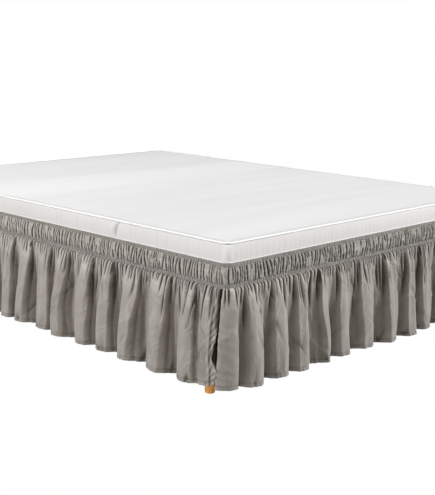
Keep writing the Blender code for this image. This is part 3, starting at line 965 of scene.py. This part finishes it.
draw = np.random.default_rng(5)
rib_places = uneven_steps(draw, whole_run, rib_pitch, RIB_SPREAD)
count = len(rib_places)
at_corner = bell(rib_places - side_run - arc_run / 2, CORNER_SPAN)
on_foot = (rib_places > side_run + arc_run) & (rib_places < side_run + arc_run + end_run)
lean = draw.uniform(-RIB_LEAN, RIB_LEAN, count) + FOOT_RIB_LEAN * np.where(on_foot, 1, -1)
lean = lean * (1 - at_corner)
bow = draw.uniform(-RIB_BOW, RIB_BOW, count)
from_top, from_bottom = valley_ends(draw, count), valley_ends(draw, count)
force = draw.uniform(0.72, 1.2, count)
puff = draw.uniform(0.62, 1.12, count)
along = np.arange(0, whole_run, HEADING_COLUMN_STEP)
rows, painted_shade = [], []
shares = np.concatenate([[0.0], np.linspace(0.0, 1.0, HEADING_ROWS), [1.0]])
for row, share in enumerate(shares):
    tucked = row in (0, len(shares) - 1)
    bulge = 0.25 + 0.75 * math.sin(math.pi * share) ** 0.5
    shifted = rib_places + lean * (share - 0.5) + bow * math.sin(math.pi * share)
    shifted = np.maximum.accumulate(shifted)
    reach_top = np.clip((from_top - share) / 0.25, 0, 1)
    reach_bottom = np.clip((from_bottom - (1 - share)) / 0.25, 0, 1)
    strength = force * np.maximum(np.minimum(reach_top, reach_bottom), FAINT_VALLEY)
    deep = pockets(along, shifted, strength, 0.80)
    crumple = np.sin(along * 330 + 9 * share + 2 * np.sin(along * 57))
    crumple = crumple * np.sin(along * 91 + 6 * share)
    puffed = np.interp(along, shifted, puff) + RIB_CRUMPLE * crumple
    crest = RIB_LOW + (RIB_CREST - RIB_LOW) * bulge * puffed
    out = TUCKED_OUT if tucked else crest + (RIB_VALLEY - crest) * deep
    x, y = wrap(along, out + 0 * along)
    lap = LAP * (1 - 0.8 * deep) * puffed * (0.6 if tucked else 1.0)
    z = heading_high[2] - share * (heading_high[2] - heading_low[2]) + lap * (1 - 2 * share) ** 3
    rows.append(np.stack([x, y, z], axis=-1))
    # painted shade in the ribs' valleys; their crests keep the cloth's full pale, a painted
    # highlight
    painted_shade.append(0.01 + 1.55 * smooth((deep - 0.08) / 0.50))
grid = np.array(rows)
heading = add_surface("shirred_heading_cloth", grid, skirt_cloth)
mark_painted_shade(heading, np.array(painted_shade))
across, down = surface_lengths(grid)
flat_measure(heading, across, down)
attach(heading, "root")
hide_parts("shirred_heading")
gathered_band("elastic_lower_casing", "elastic_lower", 22)

# ---- ruffles -------------------------------------------------------------------
# Three panels of the same cloth, gathered into the lower elastic: one for each
# long side and one for the foot, open at the two foot corners. Small gathers puff
# out under the band and run together into broad hanging folds, and each panel has
# a narrow stitched hem turned up inside.
SEAM_LAP = 0.0003  # from the band down to the ruffle's first row
ruffle_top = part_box("elastic_lower")[0][2] - SEAM_LAP
LOWEST_HEM = 0.0535  # above the floor
FULL_DROP = ruffle_top - LOWEST_HEM
SLIT = 0.005
SLIT_AT = 0.006  # past the side's end, round the corner
SLIT_BOW, SLIT_BOW_AT = 0.0085, 0.69
SLIT_SHUT, SLIT_SHUT_AT = 0.0045, 0.86
SLIT_PUCKER = 0.0030
SLIT_SPAN = 0.021  # how far from a slit its edge puckers
SEWN_REACH = 0.0020
PUFF_REACH = 0.0145
NEAREST = 0.0020  # the least distance of the cloth from the rail
OVERHANG = 0.50
FULLNESS = 0.80  # low: broad crests and narrow valleys
CREASE_WIDTH = 0.105  # of a fold's near flank, in shares of its rise
GATHER_PITCH = 0.0140
GATHER_SPREAD = 0.62  # of the pitch
GATHER_DEPTH = 0.0115
GATHER_DRIFT = 0.006
LONG_GATHERS = 0.30  # the share of them that runs far down the drop
MOUTH_DEPTH = 0.0170  # of the deep pocket at the top of each fold's near flank
MOUTH_WIDTH = 0.0044
MOUTH_END = 0.50
RIDGE_HEIGHT = 0.0045  # of the fold that stands beside it
RIDGE_AT, RIDGE_WIDTH = 0.009, 0.005
CRINKLE_SPACING = 0.018  # a soft short crease for so much of the panel's run
CRINKLE_DEPTH = 0.0034
TUCK_SPACING = 0.024  # and a dent at the hem for so much
TUCK_DEPTH = 0.0038
RIPPLES = ((0.029, 0.0011), (0.041, 0.0016), (0.062, 0.0020), (0.083, 0.0022))  # pitch, height
SWAY = 0.006
HEM_HEIGHT = 0.013
HEM_WAVE = 0.0015
HEM_WAVE_PITCH = 0.015
STITCH_DEPTH = 0.0010
STITCH_WIDTH = 0.0020
LIP_TURN = 0.010  # turned back inside along a slit
TURN_GAP = 0.0018  # between the cloth and what is turned inside
FLAT_PAINTED_SHADE = 0.463  # of the painted shade colour in flat cloth; the gathers' crests have none, a painted highlight
RUFFLE_ROWS = 58
COLUMN_STEP = 0.0016
# along the panel from its near corner, reach of the crest, reach of the valley
# after it, sideways lean at the hem, rise of the hem, place of the sharp crease
# on the flank before the crest (0 in the valley, 1 on the crest), and how much
# nearer the crest it starts at the top
FOLD_COLUMNS = ("crest", "reach", "valley", "lean", "rise", "crease", "slant")
SIDE_FOLDS = (
    (0.000, 0.033, 0.034, 0.001, 0.014, 0.50, 0.00),
    (0.026, 0.037, 0.034, 0.002, 0.001, 0.50, 0.00),
    (0.112, 0.062, 0.011, 0.000, 0.000, 0.40, 0.36),
    (0.252, 0.067, 0.010, 0.000, 0.000, 0.65, -0.10),
    (0.406, 0.068, 0.012, 0.002, 0.003, 0.72, -0.22),
    (0.538, 0.058, 0.009, 0.004, 0.003, 0.54, 0.00),
    (0.642, 0.060, 0.013, 0.002, 0.002, 0.65, 0.00),
    (0.796, 0.064, 0.010, 0.002, 0.000, 0.66, -0.10),
    (0.889, 0.052, 0.011, 0.006, 0.003, 0.50, 0.08),
    (1.026, 0.063, 0.012, 0.009, 0.004, 0.62, -0.15),
    (1.127, 0.055, 0.009, 0.003, 0.002, 0.55, 0.00),
    (1.250, 0.062, 0.012, -0.004, 0.000, 0.68, 0.10),
    (1.372, 0.058, 0.010, 0.005, 0.001, 0.58, -0.12),
    (1.500, 0.065, 0.011, -0.006, -0.002, 0.52, 0.05),
    (1.612, 0.054, 0.012, 0.003, 0.002, 0.64, -0.05),
    (1.738, 0.063, 0.010, -0.005, 0.000, 0.57, 0.10),
    (1.856, 0.058, 0.014, 0.004, 0.001, 0.60, -0.10),
    (1.9855, 0.040, 0.014, 0.000, 0.003, 0.50, 0.00),
)
foot_run = end_run + 2 * arc_run - SLIT - 2 * SLIT_AT
FOOT_FOLDS = (
    (0.000, 0.035, 0.012, 0.000, -0.0015, 0.50, 0.00),
    (0.104, 0.060, 0.010, -0.003, -0.002, 0.42, 0.12),
    (0.224, 0.064, 0.012, -0.003, 0.0025, 0.42, 0.25),
    (0.332, 0.059, 0.009, -0.007, -0.003, 0.65, -0.05),
    (0.442, 0.060, 0.012, -0.003, -0.001, 0.88, -0.06),
    (0.552, 0.058, 0.010, -0.006, 0.002, 0.56, 0.10),
    (0.675, 0.062, 0.011, -0.004, 0.003, 0.64, -0.12),
    (0.815, 0.067, 0.012, -0.008, -0.003, 0.70, 0.06),
    (0.951, 0.066, 0.009, -0.005, -0.005, 0.58, 0.15),
    (1.046, 0.054, 0.012, 0.002, -0.002, 0.52, -0.08),
    (1.165, 0.062, 0.010, 0.005, -0.001, 0.62, 0.05),
    (1.281, 0.059, 0.012, 0.007, 0.000, 0.55, -0.10),
    (1.411, 0.062, 0.014, 0.004, -0.001, 0.66, 0.08),
    (foot_run, 0.040, 0.044, 0.000, 0.002, 0.50, 0.00),
)


def lip_shift(share, bowed, closing):
    """How far a slit's edge draws back: a bow low down that shuts, on a closing line."""
    bow = SLIT_BOW * bell(share - SLIT_BOW_AT, 0.10)
    shut = SLIT_SHUT * bell(share - SLIT_SHUT_AT, 0.06)
    return 0.0012 + bowed * (bow - shut) - closing * share**1.6


def near_flank(near, crease, width, share):
    """0 to 1 up a fold's near flank: slow, one steep step at the crease, then slow."""
    steep = 0.64 - 0.20 * share**2
    early = (0.82 - steep) * smooth(near / 0.6)
    step = steep * smooth((near - crease) / width + 0.5)
    return early + step + 0.18 * smooth((near - 0.3) / 0.7)


def mouth(beyond, share, size, end):
    """The pocket at the top of a crease, and the ridge that stands beyond it.

    The pocket is e to the minus (distance / width) to the power 1.4, and wider
    before the crease than past it. Both open under the band and close at end.
    """
    apart = np.where(beyond > 0, beyond / (0.5 + 0.8 * share), -beyond / (0.6 + 1.5 * share))
    opened = size * smooth(share / 0.03) * (1 - smooth((share - 0.08) / (end - 0.08)))
    pocket = opened * np.exp(-((apart / MOUTH_WIDTH) ** 1.4))
    return pocket, opened * bell(beyond - RIDGE_AT, RIDGE_WIDTH)


def crinkles(along, share, run, marks):
    """Short soft creases, each a bell along and across itself; the weak ones rise.

    A mark gives one's place, height, tilt, length and strength, all from 0 to 1.
    """
    total = 0 * along
    for where, top, tilt, length, strong in marks:
        level = share - 0.18 - 0.78 * top
        across = along - where * run - (tilt - 0.5) * 0.50 * level
        size = 1.4 * strong if strong > 0.4 else strong - 0.9
        lengthwise = size * bell(level, 0.05 + 0.10 * length)
        total = total + lengthwise * bell(across, 0.003 + 0.003 * length)
    return total


def hem_tucks(along, from_hem, run, marks):
    """Dents that run up from the hem, each a bell across itself, leaning its own way.

    A mark gives one's place, width, tilt, length and strength, all from 0 to 1.
    """
    total = 0 * along
    for where, wide, tilt, length, strong in marks:
        across = along - where * run - (tilt - 0.5) * 0.9 * from_hem
        upward = smooth(1 - from_hem / (0.02 + 0.05 * length)) * smooth(0.3 + from_hem / 0.02)
        total = total + upward * bell(across, 0.002 + 0.003 * wide) * strong
    return total


def slow_ripples(along, share, phases):
    """The sum of four wandering sines along the panel, strongest below the gathers."""
    total = 0 * along
    for (phase, turn), (pitch, height) in zip(phases, RIPPLES):
        wander = 2.2 * np.sin(2.6 * share + turn) + 1.1 * np.sin(along * 7 + turn)
        total = total + height * np.sin(2 * math.pi * along / pitch + phase + wander)
    return total * smooth(share / 0.15) * (1 - 0.45 * share)


def ruffle_cloth(rows, start, direction, seed, lips, crease_painted_shade, lit_area_painted_shade):
    """A ruffle's surface [row][column] and its painted shade there.

    From a crest of the table the cloth swings in to the valley on a raised cosine.
    On the next crest's near flank it comes out slowly, then in one steep step up to
    a sharp crease, and on over a broad face. The folds grow down the drop on a
    quarter sine while the crests spread sideways. Small gathers are pockets below
    the band, each with its own depth, drift and length, and each crease starts at
    a deep mouth under the band. The last rows and the end columns are the hems,
    turned inside. lips gives how far each end of the panel bows and closes. The
    next argument gives how much painted shade darkens the cloth in front of each
    sharp crease, and the last how much painted shade darkens it where the folds
    swell below the gathers and towards the far end, where the lamps light it more.
    """
    draw = np.random.default_rng(seed)
    table = {name: np.array(column) for name, column in zip(FOLD_COLUMNS, zip(*rows))}
    crests, widths = table["crest"], np.diff(table["crest"])
    folds, run = len(widths), crests[-1]
    columns = np.linspace(0, run, round(run / COLUMN_STEP) + 1)
    turned = np.linspace(LIP_TURN, 0, 5)
    hung = np.concatenate([turned, columns, run - turned[::-1]])
    inside = np.concatenate([0 * turned + TURN_GAP, 0 * columns, 0 * turned + TURN_GAP])
    from_slit = np.minimum(hung, run - hung)
    index = np.clip(np.searchsorted(crests, hung, side="right") - 1, 0, folds - 1)
    width = widths[index]
    within = (hung - crests[index]) / width
    near = np.clip(2 * within - 1, 0, 1)

    def between_crests(values):
        """The values of the crests on either side, blended smoothly from one to the next."""
        return values[index] + (values[index + 1] - values[index]) * smooth(within)

    early = draw.uniform(0.80, 1.10, folds + 1)
    sway = draw.uniform(-SWAY, SWAY, (2, folds + 1))
    bend = draw.uniform(0, 2 * math.pi, folds)
    sharp = CREASE_WIDTH * draw.uniform(0.7, 1.4, folds)
    ripple_phases = draw.uniform(0, 2 * math.pi, (len(RIPPLES), 2))
    gathers = uneven_steps(draw, run, lambda place: GATHER_PITCH, GATHER_SPREAD)
    number = len(gathers)
    depth = draw.uniform(0.7, 1.25, number)
    long = draw.random(number) < LONG_GATHERS
    length = np.where(long, draw.uniform(0.28, 0.55, number), draw.uniform(0.07, 0.22, number))
    nearest = crests[np.abs(gathers[:, None] - crests).argmin(axis=1)]
    drift = draw.uniform(-GATHER_DRIFT, GATHER_DRIFT, number) + 0.22 * (nearest - gathers)
    mouth_size = draw.uniform(0.85, 1.15, folds) * smooth(widths / 0.06)
    mouth_end = draw.uniform(0.6, 1.3, folds) * MOUTH_END
    crinkle_marks = draw.uniform(0, 1, (int(run / CRINKLE_SPACING), 5))
    tuck_marks = draw.uniform(0, 1, (int(run / TUCK_SPACING), 5))

    # rows from the band to the hem, closest at the top, then the hem turned up behind
    shares = np.concatenate([[0, 0.004, 0.010], np.linspace(0.02, 1, RUFFLE_ROWS - 3) ** 1.1])
    turned_up = 1 - np.array([0.0, 0.35, 0.7, 1.0]) * HEM_HEIGHT / FULL_DROP
    levels = [(share, 0.0) for share in shares] + [(share, TURN_GAP) for share in turned_up]
    surface, painted_shades = [], []
    for row, (share, behind) in enumerate(levels):
        # the broad folds, with the sharp crease on each near flank
        kinked = 0.020 * np.arcsin(np.sin(13 * share + 3 * bend)) / (math.pi / 2)
        crease = table["crease"][1:] + table["slant"][1:] * (1 - share) ** 2
        crease = crease + 0.010 * np.sin(6 * share + bend) + kinked
        softer = sharp * (0.75 + 1.8 * share**3)
        away = (0.5 + 0.5 * np.cos(2 * math.pi * within)) ** FULLNESS
        flank = near_flank(near, crease[index], softer[index], share)
        swing = np.where(within < 0.5, away, flank)
        valley_out = table["valley"][index]
        hem_out = valley_out + (between_crests(table["reach"]) - valley_out) * swing
        grown = np.sin(math.pi / 2 * share ** between_crests(early))
        base = PUFF_REACH + (hem_out - PUFF_REACH) * grown

        # small gathers, with painted shade deep down and a painted highlight on their crests, which
        # lack the flat cloth's painted shade
        moved = np.maximum.accumulate(gathers + drift * smooth(share / 0.5))
        fade = np.clip(1 - share / length, 0, 1) ** 0.7
        gathered = pockets(hung, moved, depth * fade, 0.70 + 1.3 * share)
        deep = GATHER_DEPTH * gathered
        painted_crest_light = (1 - smooth(gathered / 0.45)) * (1 - smooth(share / 0.30))
        painted_valley_shade = 1.5 * smooth((gathered - 0.16) / 0.42) * (1 - 0.5 * share)
        painted_shade = FLAT_PAINTED_SHADE * (1 - painted_crest_light) + painted_valley_shade
        foot_of_crease = crests[:-1] + widths * (0.5 + 0.5 * (crease - 0.5 * sharp))
        for place, size, end in zip(foot_of_crease, mouth_size, mouth_end):
            pocket, ridge = mouth(hung - place, share, size, end)
            deep = deep + MOUTH_DEPTH * pocket - RIDGE_HEIGHT * ridge
            # painted shade in each crease's mouth
            painted_shade = painted_shade + 1.1 * pocket

        # painted shade in the valleys and in front of a crease, and painted shade below the gathers
        # and along the panel, where the lamps light it more
        before = near - crease[index]
        streak = smooth((before + 0.55) / 0.25) * (1 - smooth((before + 0.05) / 0.07))
        shade = 0.14 * (1 - swing) ** 2 + crease_painted_shade * streak * (1 - 0.4 * share**4)
        painted_shade = painted_shade + shade * smooth(share / 0.1)
        painted_shade = painted_shade + lit_area_painted_shade * (bell(share - 0.135, 0.10) + 0.6 * hung / run)

        # what is finer than the folds
        from_hem = (1 - share) * FULL_DROP
        crinkled = crinkles(hung, share, run, crinkle_marks)
        tucked = hem_tucks(hung, from_hem, run, tuck_marks)
        deep = deep + CRINKLE_DEPTH * crinkled + TUCK_DEPTH * tucked
        deep = deep + slow_ripples(hung, share, ripple_phases)
        # painted shade in the crinkles and in the hem's tucks
        painted_shade = painted_shade + 0.12 * crinkled + 0.45 * tucked
        puffed = smooth(share / 0.02) ** 0.5
        out = SEWN_REACH + (base - deep - SEWN_REACH) * puffed

        # the puckered edge of a slit and the stitched hem
        drop = share * FULL_DROP
        pucker = drop / 0.031 - from_slit / 0.024
        pucker = np.sin(2 * math.pi * pucker + 2.2 * np.sin(drop * 43))
        at_slit = bell(from_slit, SLIT_SPAN) * smooth(share / 0.25)
        at_slit = at_slit * (0.1 + 0.9 * np.where(hung < run / 2, lips[0][0], lips[1][0]))
        in_hem = smooth(1 - from_hem / (1.6 * HEM_HEIGHT))
        hem_wave = np.sin(2 * math.pi * hung / HEM_WAVE_PITCH + 2.5 * np.sin(hung * 61))
        stitched = bell(from_hem - HEM_HEIGHT, STITCH_WIDTH)
        out = out + SLIT_PUCKER * pucker * at_slit + HEM_WAVE * in_hem * hem_wave
        out = np.maximum(out - STITCH_DEPTH * stitched, NEAREST) - inside - behind
        # a painted highlight and shade on the slit's puckers, and painted shade along the stitch
        # line's dent
        painted_shade = painted_shade - 0.25 * at_slit * pucker + 0.13 * stitched

        # sideways: the crests spread, lean and sway, and the slit's edges draw back
        spread = OVERHANG * grown * width * np.sin(2 * math.pi * within) / (2 * math.pi)
        drawn = lip_shift(share, *lips[0]) * np.exp(-hung / 0.02)
        drawn = drawn - lip_shift(share, *lips[1]) * np.exp(-(run - hung) / 0.02)
        swayed = between_crests(sway[0]) * math.sin(math.pi * share)
        swayed = swayed + between_crests(sway[1]) * math.sin(2 * math.pi * share)
        swayed = swayed * (1 - bell(from_slit, 0.05))
        place = hung + spread + between_crests(table["lean"]) * share**2 + drawn + swayed
        x, y = wrap(start + direction * place, out)
        rise = between_crests(table["rise"]) + out**2 / (4 * FULL_DROP)
        lap = LAP * (1 - 0.8 * np.clip(gathered, 0, 1)) * (1 - smooth(share / 0.04))
        z = ruffle_top - share * (FULL_DROP - rise) + lap * (0.6 if row == 0 else 1.0)
        surface.append(np.stack([x, y, z], axis=-1))
        painted_shades.append(painted_shade)
    return np.array(surface), np.array(painted_shades)


def add_ruffle(name, node, rows, start, direction, *looks):
    """A ruffle panel with its hem turned up inside."""
    grid, painted_shade = ruffle_cloth(rows, start, direction, *looks)
    if direction < 0:
        grid, painted_shade = grid[:, ::-1], painted_shade[:, ::-1]
    across, down = surface_lengths(grid)
    panel = add_surface(name, grid, skirt_cloth)
    mark_painted_shade(panel, painted_shade)
    flat_measure(panel, across, down)
    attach(panel, "root")
    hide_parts(node)
    return panel


SIDE_LIPS = ((1.0, 0.0030), (0.0, 0.0))
FOOT_LIPS = ((0.1, 0.0055), (0.1, 0.0055))
slit_at = side_run + SLIT_AT
foot_start = slit_at + SLIT / 2
right_start = foot_start + foot_run + SLIT
RUFFLES = (
    # side, folds, start and direction, seed, lips, painted shade at the creases, and painted shade
    # where lamps light more
    ("left", SIDE_FOLDS, slit_at - SLIT / 2, -1, 31, SIDE_LIPS, 0.38, 0.0),
    ("foot", FOOT_FOLDS, foot_start, 1, 32, FOOT_LIPS, 0.16, 0.17),
    ("right", SIDE_FOLDS, right_start, 1, 33, SIDE_LIPS, 0.38, 0.0),
)
for side, *cut in RUFFLES:
    add_ruffle(f"ruffle_{side}_cloth", f"ruffle_{side}", *cut)
